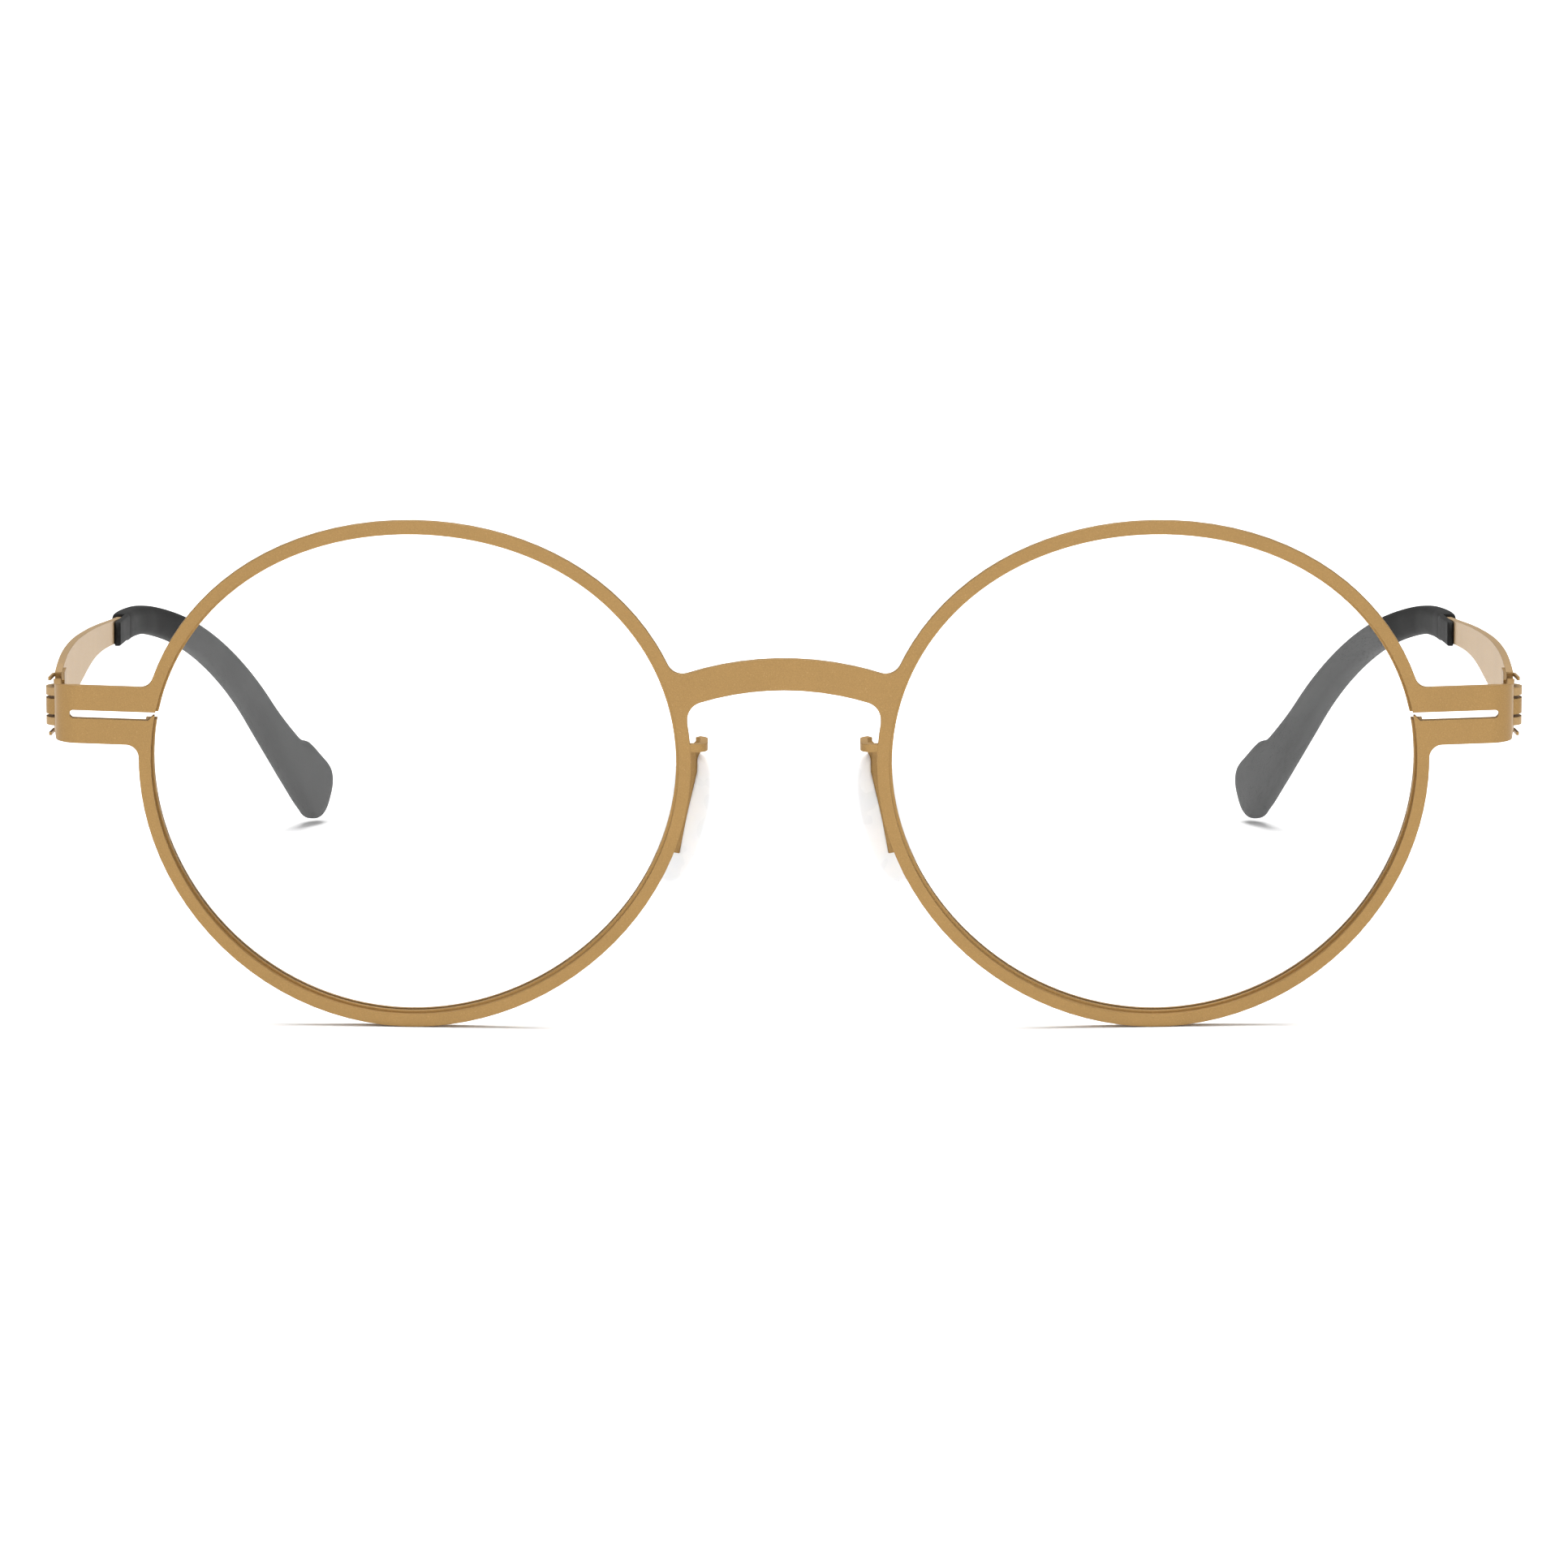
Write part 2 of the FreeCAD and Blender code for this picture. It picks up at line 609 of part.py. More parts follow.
# ---- spring clip -------------------------------------------------------------------------------------
def spring_clip():
    """Thin spring: a plate on the temple's inner face, a roll round the bar and two flared ears."""
    inner_face = hinge_side - sheet / 2
    path = [
        (hinge_side + ear_spread + ear_flare, clip_back - ear_outer_reach),
        (hinge_side + ear_spread, clip_back),
        (hinge_side - ear_spread, clip_back),
        (hinge_side - ear_spread - ear_flare, clip_back - ear_inner_reach),
    ]
    half = leg_end_height / 2 + ear_clearance
    ears = [
        upright(bent_strip(path, [clip_sheet, clip_sheet], clip_sheet), low, low + ear_height)
        for low in (hinge_middle + half, hinge_middle - half - ear_height)
    ]
    reach = half + ear_height
    plate = box(inner_face - clip_sheet, inner_face, clip_back, clip_back + clip_plate_length,
                hinge_middle - reach, hinge_middle + reach)
    roll_half = claw_stack / 2 - claw_height - claw_gap
    roll = curled_ring(hinge_middle - roll_half, hinge_middle + roll_half, inner_face - clip_sheet,
                       clip_sheet, clip_back + clip_plate_length / 2)
    return plate.multiFuse(ears + [roll]).removeSplitter()


# ---- rubber tip --------------------------------------------------------------------------------------
def tip_section(y, height, thickness, shift, rise, corner):
    """Rounded rectangle across the tip at one place, moved towards the head by shift and up by rise."""
    step = 0.01
    here = V(temple_side(y), y, path_height(y))
    ahead = V(temple_side(y + step), y + step, path_height(y + step))
    along = (ahead - here).normalize()
    side = V(along.y, -along.x, 0).normalize()
    up = side.cross(along)
    centre = here - side * shift + up * rise
    a, b = thickness / 2, height / 2
    cut = corner * (1 - math.sqrt(0.5))

    def at(u, v):
        return centre + side * u + up * v

    edges = []
    for su, sv in ((1, 1), (-1, 1), (-1, -1), (1, -1)):
        first, last = at(su * a, sv * (b - corner)), at(su * (a - corner), sv * b)
        edges.append(Part.Arc(first, at(su * (a - cut), sv * (b - cut)), last).toShape())
    for s in (1, -1):
        edges.append(Part.makeLine(at(-(a - corner), s * b), at(a - corner, s * b)))
        edges.append(Part.makeLine(at(s * a, -(b - corner)), at(s * a, b - corner)))
    return wire_of(edges)


def tip_sleeve(core):
    """Rubber tip: a plate on the sheet's inner face, then a sleeve round the sheet that swells to
    a blunt paddle."""
    front = temple_reach - tip_length
    wrap = front + tip_plate_length
    against_sheet = (sheet + tip_wall) / 2
    plate = [
        # place, height, thickness, shift towards the head, rise, corner radius
        (front, 2.45, tip_wall, against_sheet, 0.15, 0.20),
        (wrap + past, 2.55, tip_wall, against_sheet, 0.12, 0.20),
    ]
    sleeve = [
        (wrap, 2.95, 2.15, 0.13, 0.05, 0.60),
        (bend_back - 1.0, 3.00, 2.30, 0.10, 0.0, 0.70),
        (bend_back + 12.0, 3.10, 2.55, 0.0, 0.0, 0.95),
        (bend_back + 25.0, 3.30, 2.80, 0.0, 0.0, 1.10),
        (temple_reach - 19.0, 4.00, 3.00, 0.0, 0.05, 1.20),
        (temple_reach - 12.0, 5.20, 3.20, 0.0, 0.45, 1.35),
        (temple_reach - 7.5, 6.60, 3.40, 0.0, 1.00, 1.45),
        (temple_reach - 5.0, 6.70, 3.25, 0.0, 1.20, 1.40),
        (temple_reach - 3.6, 5.80, 2.70, 0.0, 1.10, 1.15),
        (temple_reach - 3.0, 4.40, 2.00, 0.0, 1.00, 0.85),
    ]
    flat = Part.makeLoft([tip_section(*station) for station in plate], True, True)
    round_sheet = Part.makeLoft([tip_section(*station) for station in sleeve], True, False)
    return flat.fuse(round_sheet.cut(core))


# ---- assembly ----------------------------------------------------------------------------------------
def all_parts():
    right_temple = temple()
    parts = {"front_sheet": lean(front_sheet())}
    pairs = {
        "eyewire": lean(eyewire()),
        "demo_lens": lean(demo_lens()),
        "nose_pad": lean(nose_pad()),
        "temple": right_temple,
        "spring_clip": lean(spring_clip()),
        "tip_sleeve": tip_sleeve(right_temple),
    }
    for name, shape in pairs.items():
        parts[name + "_right"] = shape
        parts[name + "_left"] = mirrored(shape)
    return parts


def true_box(shape):
    return shape.optimalBoundingBox(False, False)


def stand_on_table(parts):
    """Moves the frame so that its box is centred over the origin and its lowest point is on the table."""
    boxes = [true_box(shape) for shape in parts.values()]
    front = min(b.YMin for b in boxes)
    rear = max(b.YMax for b in boxes)
    shift = V(0, -(front + rear) / 2, -min(b.ZMin for b in boxes))
    for shape in parts.values():
        shape.translate(shift)
    return shift


def main():
    os.makedirs("parts", exist_ok=True)
    parts = all_parts()
    shift = stand_on_table(parts)
    for name, shape in parts.items():
        solid = shape.Solids[0] if len(shape.Solids) == 1 else shape
        solid.exportStep("parts/" + name + ".step")
        b = true_box(solid)
        print(name, "solids", len(shape.Solids), "valid", solid.isValid(), "volume %.2f" % solid.Volume)
        print("    x %.3f %.3f  y %.3f %.3f  z %.3f %.3f" % (b.XMin, b.XMax, b.YMin, b.YMax, b.ZMin, b.ZMax))
    pivot = lean_point(hinge_side, hinge_back, hinge_middle) + shift
    print("hinge at", tuple(round(c, 4) for c in pivot))
    print("hinge axis 0 %.6f %.6f" % (-math.sin(lean_angle), math.cos(lean_angle)))
    print("lens centre height %.4f, shift %s" % (lens_height + shift.z, tuple(round(c, 4) for c in shift)))


main()
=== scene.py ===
# %% [markdown]
# # Screwless sheet-metal eyeglasses
#
# The frame that this lesson finishes is cut from thin steel sheet and painted a fine matte gold.
# Its front is one flat strip with two round rims, a bridge and split lugs; each temple is a second
# strip, which clips onto the front's own ends and needs no screw. The engineering model is loaded
# first and is never moved. Everything after it only gives that model its looks: soft rubber tips,
# silicone nose pads, paint, light and a camera.

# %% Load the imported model
import json
import math

import bpy
import numpy as np
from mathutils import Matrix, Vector


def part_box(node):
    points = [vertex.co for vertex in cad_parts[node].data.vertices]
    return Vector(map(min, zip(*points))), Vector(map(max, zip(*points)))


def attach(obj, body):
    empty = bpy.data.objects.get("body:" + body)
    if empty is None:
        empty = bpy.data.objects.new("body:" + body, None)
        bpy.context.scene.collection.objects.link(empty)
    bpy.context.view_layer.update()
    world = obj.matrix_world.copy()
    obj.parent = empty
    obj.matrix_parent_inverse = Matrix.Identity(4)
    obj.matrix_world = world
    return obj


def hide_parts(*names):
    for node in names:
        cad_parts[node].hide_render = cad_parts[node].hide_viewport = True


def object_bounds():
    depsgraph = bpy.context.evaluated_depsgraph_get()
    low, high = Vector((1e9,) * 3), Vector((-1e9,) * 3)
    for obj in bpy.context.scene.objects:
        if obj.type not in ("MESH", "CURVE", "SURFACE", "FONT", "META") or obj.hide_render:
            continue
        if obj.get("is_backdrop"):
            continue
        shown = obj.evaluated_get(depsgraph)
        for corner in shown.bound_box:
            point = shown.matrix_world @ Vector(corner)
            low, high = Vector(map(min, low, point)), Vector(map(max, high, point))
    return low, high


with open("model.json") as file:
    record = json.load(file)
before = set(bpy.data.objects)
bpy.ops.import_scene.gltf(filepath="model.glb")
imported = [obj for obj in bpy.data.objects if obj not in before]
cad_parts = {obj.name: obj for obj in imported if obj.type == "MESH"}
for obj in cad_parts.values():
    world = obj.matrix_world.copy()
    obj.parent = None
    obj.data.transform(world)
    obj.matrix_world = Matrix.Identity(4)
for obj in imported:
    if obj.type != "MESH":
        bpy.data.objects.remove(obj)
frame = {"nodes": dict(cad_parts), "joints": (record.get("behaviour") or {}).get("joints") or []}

nodes = frame["nodes"]
cad_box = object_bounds()
print("nodes:", len(nodes), "box in mm:", [round((b - a) * 1000, 2) for a, b in zip(*cad_box)])

# %% [markdown]
# Sizes in this script are metres, because the loaded model is in metres. Small parts are easier to
# think of in millimetres, so `mm` turns one into the other. The two temple hinges are the places
# that the rest is measured from, and they are read from the model's own joints.

# %% Units and the places everything is measured from
mm = 0.001
hinges = {joint["child"]: Vector(joint["pos_m"]) for joint in frame["joints"]}
hinge = hinges["right_temple_body"]
print("right hinge in mm:", [round(c / mm, 2) for c in hinge])

# %% [markdown]
# ## A skin through rings of points
#
# Both soft parts, the tips and the pads, are closed smooth bodies. Each is described by a stack of
# rings: a ring is a closed line round the part, and the next ring lies a little further along. With
# the points in one numpy array, the four-cornered faces between the rings come from index
# arithmetic, without a loop over points. A fan of triangles closes each end.

# %% Helper: rings to a mesh
def skin(name, rings, ends, body, material):
    """Closed mesh through rings[i, j], the j-th point of ring i; ends are one point before and one after."""
    count, around, _ = rings.shape
    points = np.concatenate([rings.reshape(-1, 3), np.asarray(ends)])
    index = np.arange(count * around).reshape(count, around)
    beside = np.roll(index, -1, axis=1)
    quads = np.stack([index[:-1], beside[:-1], beside[1:], index[1:]], axis=-1).reshape(-1, 4)
    first = np.stack([np.full(around, count * around), beside[0], index[0]], axis=-1)
    last = np.stack([np.full(around, count * around + 1), index[-1], beside[-1]], axis=-1)
    mesh = bpy.data.meshes.new(name)
    mesh.from_pydata(points.tolist(), [], quads.tolist() + first.tolist() + last.tolist())
    if inside_volume(points, quads, first, last) < 0:
        mesh.flip_normals()
    mesh.polygons.foreach_set("use_smooth", np.ones(len(mesh.polygons), bool))
    mesh.materials.append(material)
    piece = bpy.data.objects.new(name, mesh)
    bpy.context.scene.collection.objects.link(piece)
    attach(piece, body)
    print(name, "faces", len(mesh.polygons))
    return piece


def inside_volume(points, quads, *fans):
    """Sum over all triangles of a . (b x c) / 6, which is positive when the faces look outwards."""
    triangles = np.concatenate([quads[:, [0, 1, 2]], quads[:, [0, 2, 3]], *fans])
    a, b, c = (points[triangles[:, k]] for k in range(3))
    return float(np.einsum("ij,ij->i", a, np.cross(b, c)).sum() / 6)


# %% [markdown]
# The sizes of a tip are known at a few places along it, and between them they have to change
# smoothly. A cubic curve with its slope taken from the neighbouring places does that. Its slope is
# made zero where the sizes turn round, so the curve never swings past the sizes that it is given.

# %% Helper: smooth change between known places
def smooth_between(where, places, values):
    """Cubic Hermite curve from value and slope at both ends; a slope is the harmonic mean of two runs."""
    places, values = np.asarray(places, float), np.asarray(values, float)
    step = np.diff(places)
    run = np.diff(values) / step
    slope = np.zeros_like(values)
    same_way = run[:-1] * run[1:] > 0
    slope[1:-1][same_way] = 2 * run[:-1][same_way] * run[1:][same_way] / (run[:-1] + run[1:])[same_way]
    k = np.clip(np.searchsorted(places, where, side="right") - 1, 0, len(step) - 1)
    t = np.clip((where - places[k]) / step[k], 0, 1)
    ease = t * t * (3 - 2 * t)
    start = t * (1 - t) ** 2 * slope[k] * step[k]
    finish = t * t * (1 - t) * slope[k + 1] * step[k]
    return values[k] * (1 - ease) + values[k + 1] * ease + start - finish


print("halfway between 0 and 1:", smooth_between(np.array([0.5]), [0, 1], [0, 1])[0])

# %% [markdown]
# ## Paint
#
# The metal wears a fine matte gold paint, blasted so that it has a grain of about a tenth of a
# millimetre and no clear reflection. Three things make such a paint believable. Its colour varies a
# little in slow clouds and in fine grain, a few flakes catch the light, and its relief scatters the
# highlight. A Bevel node rounds the sharp cut edges for the light only, which gives each edge the
# thin bright line that a real cut edge shows.

# %% Helpers for node materials
def new_material(name):
    """An empty node material, its surface shader and a function that adds a node with settings."""
    material = bpy.data.materials.new(name)
    material.use_nodes = True
    tree = material.node_tree
    shader = next(n for n in tree.nodes if n.type == "BSDF_PRINCIPLED")

    def add(kind, inputs=None, **settings):
        node = tree.nodes.new(kind)
        for key, value in settings.items():
            setattr(node, key, value)
        for key, value in (inputs or {}).items():
            if isinstance(value, bpy.types.NodeSocket):
                tree.links.new(value, node.inputs[key])
            else:
                node.inputs[key].default_value = value
        return node

    return material, shader, add, tree.links.new


def noise(add, place, scale, detail=2.0):
    """Soft random pattern whose marks are about one over scale wide, from 0 to 1."""
    return add("ShaderNodeTexNoise", {"Vector": place, "Scale": scale, "Detail": detail}).outputs[0]


def between(add, amount, low, high, dark, light):
    """Colour that goes from dark to light while amount goes from low to high."""
    ramp = add("ShaderNodeValToRGB", {"Fac": amount})
    ramp.color_ramp.elements[0].position, ramp.color_ramp.elements[1].position = low, high
    ramp.color_ramp.elements[0].color = (*dark, 1)
    ramp.color_ramp.elements[1].color = (*light, 1)
    return ramp.outputs[0]


def spread(add, amount, low, high, least, most):
    """Number that goes from least to most while amount goes from low to high."""
    limits = {"Value": amount, "From Min": low, "From Max": high, "To Min": least, "To Max": most}
    return add("ShaderNodeMapRange", limits).outputs[0]


# %% Gold paint
grain_size = 0.11 * mm
cloud_size = 5.0 * mm
edge_radius = 0.07 * mm
relief_height = 0.02 * mm
grain_dark, grain_light = 0.88, 1.10
metal_share = 0.80


def gold_paint(name, colour, roughness):
    """Matte gold paint: clouded, grained colour, rare bright flakes, a fine relief, softened edges."""
    material, shader, add, link = new_material(name)
    place = add("ShaderNodeTexCoord").outputs["Object"]
    grain = noise(add, place, 1 / grain_size)
    clouds = noise(add, place, 1 / cloud_size, 3.0)
    flakes = noise(add, place, 1.1 / grain_size, 0.0)
    dark, light = [c * grain_dark for c in colour], [c * grain_light for c in colour]
    grained = between(add, grain, 0.30, 0.70, dark, light)
    clouded = between(add, clouds, 0.35, 0.65, [0.96] * 3, [1.0] * 3)
    base = add("ShaderNodeMix", {"Factor": 1.0}, data_type="RGBA", blend_type="MULTIPLY")
    link(grained, base.inputs[6])
    link(clouded, base.inputs[7])
    sparkle = spread(add, flakes, 0.72, 0.80, 0.0, 0.25)
    flaked = add("ShaderNodeMix", {"Factor": sparkle}, data_type="RGBA")
    link(base.outputs[2], flaked.inputs[6])
    flaked.inputs[7].default_value = (*[min(1.0, c * 1.7 + 0.06) for c in colour], 1)
    link(flaked.outputs[2], shader.inputs["Base Color"])
    link(spread(add, grain, 0.3, 0.7, roughness - 0.05, roughness + 0.07), shader.inputs["Roughness"])
    rounded = add("ShaderNodeBevel", {"Radius": edge_radius}, samples=4)
    relief = {"Strength": 0.35, "Distance": relief_height, "Height": grain, "Normal": rounded.outputs[0]}
    link(add("ShaderNodeBump", relief).outputs[0], shader.inputs["Normal"])
    shader.inputs["Metallic"].default_value = metal_share
    return material


gold = (0.320, 0.194, 0.071)
front_paint = gold_paint("front_gold_paint", gold, 0.50)
# The eyewire gets a lighter copy of the same gold: a painted highlight standing in for the bright light on
# the rims' lower inner walls.
rim_paint_with_painted_highlight = gold_paint("eyewire_gold_painted_highlight", [c * 1.12 for c in gold], 0.42)
# The temples get a lighter, paler copy of the same gold: a painted sheen standing in for the beige look of
# their inner faces at a flat angle.
temple_paint_with_painted_sheen = gold_paint("temple_gold_painted_sheen", (0.360, 0.236, 0.110), 0.46)
# The spring clips get a darker copy of the same gold: painted shade standing in for the shade of the narrow
# hinge slot they sit in.
clip_paint_with_painted_shade = gold_paint("clip_gold_painted_shade", [c * 0.92 for c in gold], 0.44)
print("paint grain in mm:", grain_size / mm)

# %% [markdown]
# Each metal node of the model keeps its exact shape and only changes its material. A material slot
# that is already on the node is filled again, so the node's faces need no change.

# %% Paint the metal nodes
paints = {
    "front_sheet": front_paint,
    "eyewire": rim_paint_with_painted_highlight,
    "temple": temple_paint_with_painted_sheen,
    "spring_clip": clip_paint_with_painted_shade,
}
for name, node in nodes.items():
    kind = name.removesuffix("_left").removesuffix("_right")
    if kind in paints:
        node.material_slots[0].material = paints[kind]
        print(name, "gets", paints[kind].name)

# %% [markdown]
# ## Lenses
#
# A new frame is sold with thin clear plates in place of lenses. They are nearly invisible: what
# shows is a faint sheen at a flat angle. A surface shader that lets light through, with a very low
# alpha, does that and keeps the light path short. Wiping marks change its roughness a little.

# %% Clear plate material
plate_alpha = 0.03
wipe_size = 9 * mm


def clear_plate():
    """Almost invisible plastic plate, whose sheen is broken by wide, faint wiping marks."""
    material, shader, add, link = new_material("clear_plate")
    place = add("ShaderNodeTexCoord").outputs["Object"]
    wiped = add("ShaderNodeMapping", {"Vector": place, "Scale": (1.0, 1.0, 6.0)}).outputs[0]
    marks = noise(add, wiped, 1 / wipe_size, 3.0)
    link(spread(add, marks, 0.3, 0.7, 0.03, 0.09), shader.inputs["Roughness"])
    link(between(add, marks, 0.3, 0.7, (0.97, 0.98, 0.99), (1, 1, 1)), shader.inputs["Base Color"])
    shader.inputs["IOR"].default_value = 1.49
    shader.inputs["Transmission Weight"].default_value = 1.0
    shader.inputs["Alpha"].default_value = plate_alpha
    return material


plate = clear_plate()
for side in ("left", "right"):
    nodes["demo_lens_" + side].material_slots[0].material = plate
print("plate alpha", plate_alpha)

# %% [markdown]
# ## Rubber tips
#
# Each temple ends in a soft black sleeve. It starts as a plate on the inner face of the metal,
# closes round it, bends down behind the ear and swells to a blunt paddle with a small shoulder on
# its upper side. Seen from above it also curls round the head. The middle line therefore has two
# turns, one in the side view and one in the plan, and both are a straight run, an arc and another
# straight run.

# %% The middle line of a temple
def turned(behind, start, gentle, steep, radius):
    """Offset of a line that runs at slope gentle to start, turns on an arc and goes on at slope steep."""
    gentle, steep = math.radians(gentle), math.radians(steep)
    arc_end = start + radius * (math.sin(steep) - math.sin(gentle))
    angle = np.arcsin(np.clip(math.sin(gentle) + (np.clip(behind, start, arc_end) - start) / radius, -1, 1))
    before = np.minimum(behind - start, 0) * math.tan(gentle)
    arc = radius * (math.cos(gentle) - np.cos(angle))
    return before + arc + np.maximum(behind - arc_end, 0) * math.tan(steep)


curl = {"start": 77.52 * mm, "gentle": 0.69, "steep": 19.1, "radius": 60.1 * mm}
bend = {"start": 85.42 * mm, "gentle": 2.79, "steep": 39.17, "radius": 60.0 * mm}
straight_length = 69.30 * mm
straight_run = straight_length * math.tan(math.radians(curl["gentle"]))
fall_at_bend = 1.83 * mm


def middle_line(behind):
    """Points of the right temple's middle line, given how far each lies behind the hinge."""
    x = hinge.x - straight_run - turned(behind, **curl)
    z = hinge.z - fall_at_bend - turned(behind, **bend)
    return np.stack([x, hinge.y + behind, z], axis=-1)


print("line at the bend in mm:", (middle_line(np.array([bend["start"]]))[0] / mm).round(2))

# %% [markdown]
# A ring of the sleeve is a rounded rectangle. The superellipse |u/a|^n + |v/b|^n = 1 draws it with
# one formula: n = 2 is an ellipse and a large n is nearly a rectangle. Its half sizes a and b, its
# n and the place of its centre change along the tip. The upper and the lower edge are given
# separately, because the paddle grows mostly upwards.

# %% Sizes along the tip
tip_places = {
    # behind the hinge: outer side, inner side, top, bottom (from the middle line), squareness
    63.22: (-0.42, 0.93, 1.30, -1.02, 7.0),
    63.35: (-0.36, 1.01, 1.37, -1.08, 7.0),
    70.40: (-0.36, 1.01, 1.39, -1.10, 6.0),
    75.10: (-0.36, 1.01, 1.40, -1.14, 5.0),
    75.40: (0.78, 1.05, 1.44, -1.32, 4.5),
    76.40: (0.95, 1.12, 1.50, -1.40, 4.0),
    84.40: (1.02, 1.20, 1.54, -1.42, 3.2),
    97.00: (1.25, 1.26, 1.42, -1.60, 2.7),
    110.10: (1.38, 1.38, 1.32, -1.94, 2.7),
    120.90: (1.50, 1.50, 1.62, -2.08, 2.6),
    127.60: (1.60, 1.60, 2.50, -2.14, 2.6),
    128.90: (1.62, 1.62, 2.95, -2.18, 2.6),
    130.40: (1.66, 1.66, 3.85, -2.20, 2.6),
    132.90: (1.69, 1.69, 4.40, -2.20, 2.6),
    134.90: (1.64, 1.64, 4.75, -2.06, 2.7),
}
tip_table = np.array([(place, *sizes) for place, sizes in tip_places.items()])
ring_points = 48
rows_along = 260
print("stations along the tip:", len(tip_table))

# %% The sleeve as a surface of two parameters
def tip_rings(paddle_end=136.95):
    """Superellipse rings across the middle line; their half sizes fade by a quarter ellipse at the end."""
    places = tip_table[:, 0]
    front_edge, plate_start, _, collar_start, _, collar_end = places[:6]
    near_front = np.linspace(front_edge, plate_start, 6, endpoint=False)
    plate_run = np.linspace(plate_start, collar_start, 30, endpoint=False)
    collar = np.linspace(collar_start, collar_end, 24, endpoint=False)
    swell = np.linspace(collar_end, places[-1], rows_along, endpoint=False)
    fade = np.linspace(0, math.pi / 2, 26, endpoint=False)
    blunt = places[-1] + (paddle_end - places[-1]) * np.sin(fade)
    behind = np.concatenate([near_front, plate_run, collar, swell, blunt])
    shrink = np.concatenate([np.ones(len(behind) - len(fade)), np.cos(fade)])
    sizes = [smooth_between(behind, places, column) for column in tip_table[:, 1:].T]
    outer, inner, top, low, square = sizes
    centre = middle_line(behind * mm)
    ahead = np.gradient(centre, behind, axis=0)
    ahead /= np.linalg.norm(ahead, axis=1, keepdims=True)
    side = np.stack([ahead[:, 1], -ahead[:, 0], np.zeros(len(ahead))], axis=-1)
    side /= np.linalg.norm(side, axis=1, keepdims=True)
    up = np.cross(side, ahead)
    turn = np.linspace(0, 2 * math.pi, ring_points, endpoint=False)
    power = (2 / square)[:, None]
    u = np.sign(np.cos(turn)) * np.abs(np.cos(turn)) ** power
    v = np.sign(np.sin(turn)) * np.abs(np.sin(turn)) ** power
    across = (outer - inner)[:, None] / 2 + u * ((outer + inner) / 2 * shrink)[:, None]
    rise = (top + low)[:, None] / 2 + v * ((top - low) / 2 * shrink)[:, None]
    rings = centre[:, None] + (across[..., None] * side[:, None] + rise[..., None] * up[:, None]) * mm
    middle = rings.mean(axis=1)
    end = middle[-1] + ahead[-1] * (paddle_end - behind[-1]) * mm
    return rings, (middle[0], end)


tip_shape, tip_ends = tip_rings()
print("tip reaches back to y =", round(float(tip_shape[..., 1].max()) / mm, 2), "mm")

# %% [markdown]
# The rubber is a soft black with a very fine, even grain from its mould. It is dark grey where it
# faces the light and nearly black elsewhere, so its shine is wide and weak. A slight wear on the
# surface makes some patches a little smoother.

# %% Black rubber
moulded_grain = 0.16 * mm
handled_size = 7 * mm


def black_rubber():
    """Matte black rubber: a fine moulded grain, and slow patches where handling has smoothed it."""
    material, shader, add, link = new_material("black_rubber")
    place = add("ShaderNodeTexCoord").outputs["Object"]
    grain = noise(add, place, 1 / moulded_grain, 2.0)
    handled = noise(add, place, 1 / handled_size, 3.0)
    black = between(add, grain, 0.3, 0.7, (0.0060, 0.0060, 0.0058), (0.0090, 0.0090, 0.0086))
    link(black, shader.inputs["Base Color"])
    link(spread(add, handled, 0.3, 0.7, 0.62, 0.74), shader.inputs["Roughness"])
    relief = {"Strength": 0.08, "Distance": 0.006 * mm, "Height": grain}
    link(add("ShaderNodeBump", relief).outputs[0], shader.inputs["Normal"])
    shader.inputs["Specular IOR Level"].default_value = 0.15
    return material


rubber = black_rubber()
mirror_x = np.array([-1.0, 1.0, 1.0])
for side, flip in (("right", 1.0), ("left", mirror_x)):
    body = side + "_temple_body"
    tip = skin("rubber_tip_" + side, tip_shape * flip, np.array(tip_ends) * flip, body, rubber)
    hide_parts("tip_sleeve_" + side)

# %% [markdown]
# ## Nose pads
#
# The pads are small pillows of milky silicone, slid over the metal blades. Their edge is full and
# round, and both faces are slightly domed. The outline in the plane of the pad is a superellipse, a
# little fuller than an oval. A quarter ellipse carries it round the edge, and a shallow dome fills
# each face without a crease. The model says where each pad is. Its box gives the middle, and the
# pad's own width, height and turn are values here.

# %% The pad's place and size
pad_size = {"width": 6.65 * mm, "height": 14.20 * mm, "thickness": 2.20 * mm}
pad_edge = 0.90 * mm
pad_dome = 0.22 * mm
pad_turn = math.radians(37.0)
pad_tilt = math.radians(20.0)
frame_lean = math.radians(5.0)
pad_low, pad_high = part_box("nose_pad_right")
pad_middle = np.array((pad_low + pad_high) / 2)
print("pad middle in mm:", (pad_middle / mm).round(2))

# %% The pad as a surface of two parameters
def pad_rings(face_rows=24, edge_rows=44, around=128, fullness=2.3):
    """Domed faces w = h + d (1 - f^2)^2 joined by a quarter ellipse edge; f goes from 0 to 1 over a face."""
    flat = pad_size["thickness"] / 2 - pad_dome
    face = np.linspace(0, 1, face_rows + 1)[1:]
    slope = np.linspace(-math.pi / 2, math.pi / 2, edge_rows + 2)[1:-1]
    dome = flat + pad_dome * (1 - face ** 2) ** 2
    inset = np.concatenate([1 - face, 0 * slope, 1 - face[::-1]])
    edge = np.concatenate([0 * face, np.cos(slope), 0 * face])
    w = np.concatenate([-dome, flat * np.sin(slope), dome[::-1]])
    turn = np.linspace(0, 2 * math.pi, around, endpoint=False)
    u = np.sign(np.cos(turn)) * np.abs(np.cos(turn)) ** (2 / fullness)
    v = np.sign(np.sin(turn)) * np.abs(np.sin(turn)) ** (2 / fullness)
    half = [(pad_size[way] / 2 - pad_edge) * (1 - inset) + pad_edge * edge for way in ("width", "height")]
    rings = turned_pad(half[0][:, None] * u, half[1][:, None] * v, w[:, None])
    return rings, turned_pad(0.0, 0.0, np.array([-1, 1]) * pad_size["thickness"] / 2)


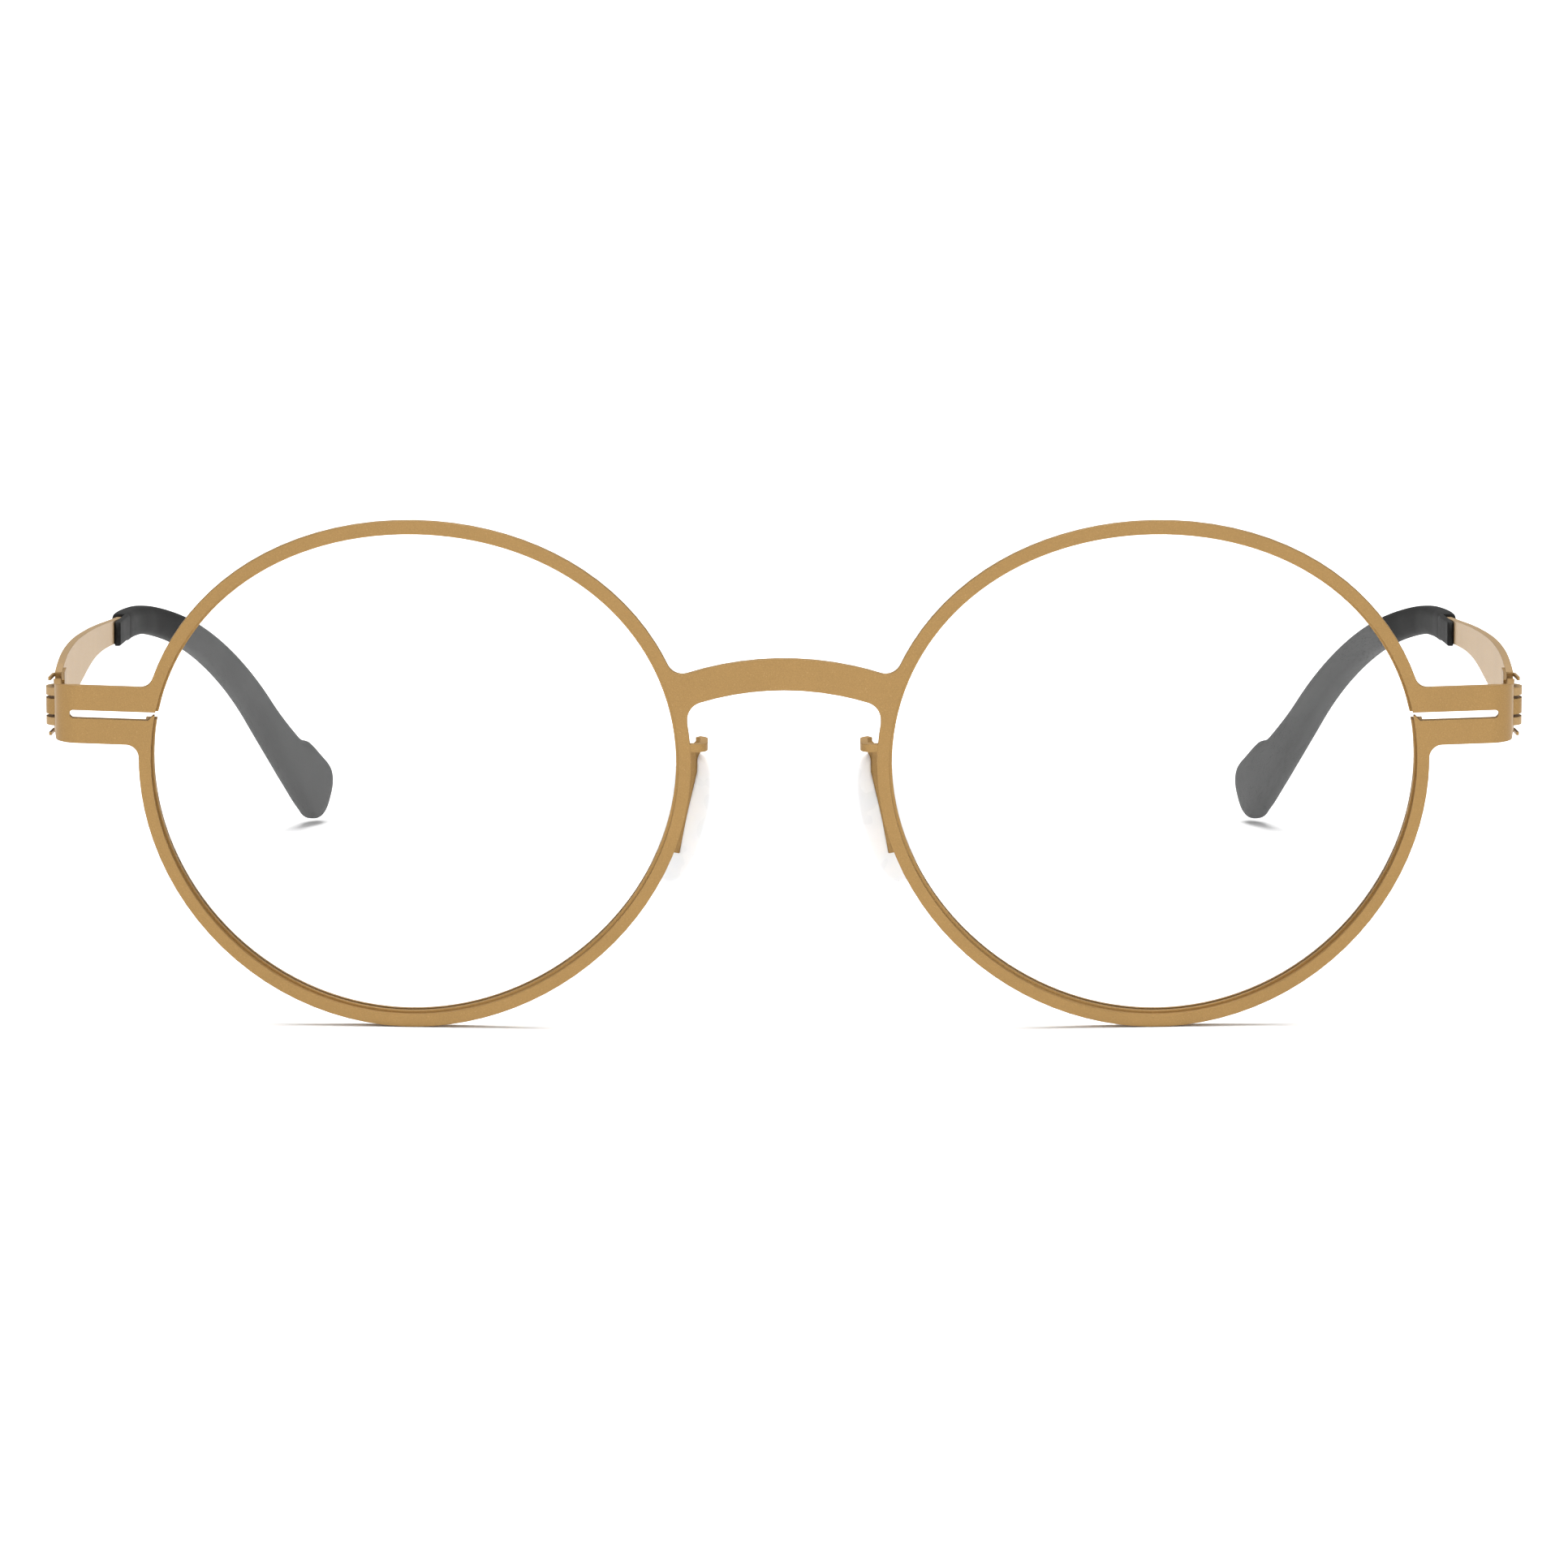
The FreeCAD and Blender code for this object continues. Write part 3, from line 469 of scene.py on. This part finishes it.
def turned_pad(u, v, w):
    """Own axes to frame axes: tilt in the pad's plane, turn about the upright, then lean with the front."""
    along = u * math.cos(pad_tilt) - v * math.sin(pad_tilt)
    up = u * math.sin(pad_tilt) + v * math.cos(pad_tilt)
    x = along * math.cos(pad_turn) - w * math.sin(pad_turn)
    back = along * math.sin(pad_turn) + w * math.cos(pad_turn)
    y = back * math.cos(frame_lean) - up * math.sin(frame_lean)
    z = back * math.sin(frame_lean) + up * math.cos(frame_lean)
    x, y, z = np.broadcast_arrays(x, y, z)
    return np.stack([x, y, z], axis=-1) + pad_middle


pad_shape, pad_ends = pad_rings()
print("pad box in mm:", ((pad_shape.max((0, 1)) - pad_shape.min((0, 1))) / mm).round(2))

# %% [markdown]
# Silicone lets light in and scatters it below the surface, which makes it look milky instead of
# white. Subsurface scattering with a reach of about half a millimetre gives that. A few dust specks
# sit on every real pad, because silicone holds them.

# %% Milky silicone
haze_size = 4 * mm
speck_spacing = 1.6 * mm
scatter_reach = 0.6 * mm


def milky_silicone():
    """Translucent silicone: soft scattering, a satin skin with slow variation and rare small dust specks."""
    material, shader, add, link = new_material("milky_silicone")
    place = add("ShaderNodeTexCoord").outputs["Object"]
    haze = noise(add, place, 1 / haze_size, 2.0)
    milk = between(add, haze, 0.35, 0.65, (0.80, 0.82, 0.84), (0.88, 0.87, 0.86))
    dust = add("ShaderNodeTexVoronoi", {"Vector": place, "Scale": 1 / speck_spacing}).outputs["Distance"]
    specks = add("ShaderNodeMix", {"Factor": spread(add, dust, 0.035, 0.06, 0.55, 0.0)}, data_type="RGBA")
    link(milk, specks.inputs[6])
    specks.inputs[7].default_value = (0.35, 0.34, 0.32, 1)
    link(specks.outputs[2], shader.inputs["Base Color"])
    link(spread(add, haze, 0.3, 0.7, 0.24, 0.34), shader.inputs["Roughness"])
    shader.inputs["Subsurface Weight"].default_value = 0.60
    shader.inputs["Subsurface Radius"].default_value = (1.0, 1.0, 1.1)
    shader.inputs["Subsurface Scale"].default_value = scatter_reach
    shader.inputs["IOR"].default_value = 1.41
    return material


silicone = milky_silicone()
for side, flip in (("right", 1.0), ("left", mirror_x)):
    pad = skin("silicone_pad_" + side, pad_shape * flip, pad_ends * flip, "root", silicone)
    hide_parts("nose_pad_" + side)

# %% [markdown]
# ## Table, light and camera
#
# The glasses stand on a plain white table under one wide soft light from above. The table is large
# enough to fill the picture behind them. The light from above draws a thin contact line under the
# rims and a soft spot under each tip, and the even light from all round keeps every other shadow
# away. The table's material has the faintest unevenness, as real paper has.

# %% The table
paper_cloud = 60 * mm


def white_table():
    """Matt white paper with a barely visible cloudiness."""
    material, shader, add, link = new_material("white_paper")
    place = add("ShaderNodeTexCoord").outputs["Object"]
    clouds = noise(add, place, 1 / paper_cloud, 3.0)
    link(between(add, clouds, 0.3, 0.7, (0.90, 0.90, 0.90), (0.92, 0.92, 0.92)), shader.inputs["Base Color"])
    shader.inputs["Roughness"].default_value = 0.9
    shader.inputs["Specular IOR Level"].default_value = 0.0
    return material


table_mesh = bpy.data.meshes.new("table")
reach = 6.0
corners = [(-reach, -reach, 0), (reach, -reach, 0), (reach, reach, 0), (-reach, reach, 0)]
table_mesh.from_pydata(corners, [], [(0, 1, 2, 3)])
table_mesh.materials.append(white_table())
table = bpy.data.objects.new("table", table_mesh)
bpy.context.scene.collection.objects.link(table)
table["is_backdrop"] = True
print("table is", 2 * reach, "m wide")

# %% Soft light
def soft_light(name, place, aim, size, power):
    """Square area light at place, turned so that it shines towards aim."""
    light = bpy.data.lights.new(name, "AREA")
    light.size = size
    light.energy = power
    lamp = bpy.data.objects.new(name, light)
    lamp.location = place
    lamp.rotation_euler = (Vector(aim) - Vector(place)).to_track_quat("-Z", "Y").to_euler()
    bpy.context.scene.collection.objects.link(lamp)
    return lamp


world = bpy.data.worlds.new("studio")
world.use_nodes = True
world.node_tree.nodes["Background"].inputs["Color"].default_value = (1.0, 1.0, 1.0, 1)
world.node_tree.nodes["Background"].inputs["Strength"].default_value = 0.42
bpy.context.scene.world = world
overhead = soft_light("overhead_light", (0, 0.2, 2.2), (0, 0.2, 0), 1.8, 92)
front_light = soft_light("front_light", (0, -1.9, 1.0), (0, 0, 0.02), 1.4, 16)
bpy.context.scene.view_settings.view_transform = "Standard"
print("lights:", overhead.name, front_light.name)

# %% [markdown]
# The camera stands almost a metre in front of the glasses, a little above them, and looks slightly
# down. Its lens is long, so the front looks flat and the temples run back between the rims.

# %% Camera
lens_mm = 222.26
look_down = math.radians(7.492)
camera_data = bpy.data.cameras.new("camera")
camera_data.sensor_width = 36.0
camera_data.lens = lens_mm
camera_data.clip_start, camera_data.clip_end = 0.05, 50.0
camera = bpy.data.objects.new("camera", camera_data)
camera.location = (0, -974.71 * mm, 142.0 * mm)
camera.rotation_euler = (math.pi / 2 - look_down, 0, 0)
bpy.context.scene.collection.objects.link(camera)
bpy.context.scene.camera = camera
print("camera at", [round(c, 4) for c in camera.location])

# %% [markdown]
# The last step compares the finished object's box with the model's box and prints how far each corner
# has moved, which shows whether the looks have made the glasses larger.

# %% Sizes and finish
looks_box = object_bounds()
change = [[round((b - a) / mm, 3) for a, b in zip(*pair)] for pair in zip(cad_box, looks_box)]
print("low and high corner moved by, in mm:", change)
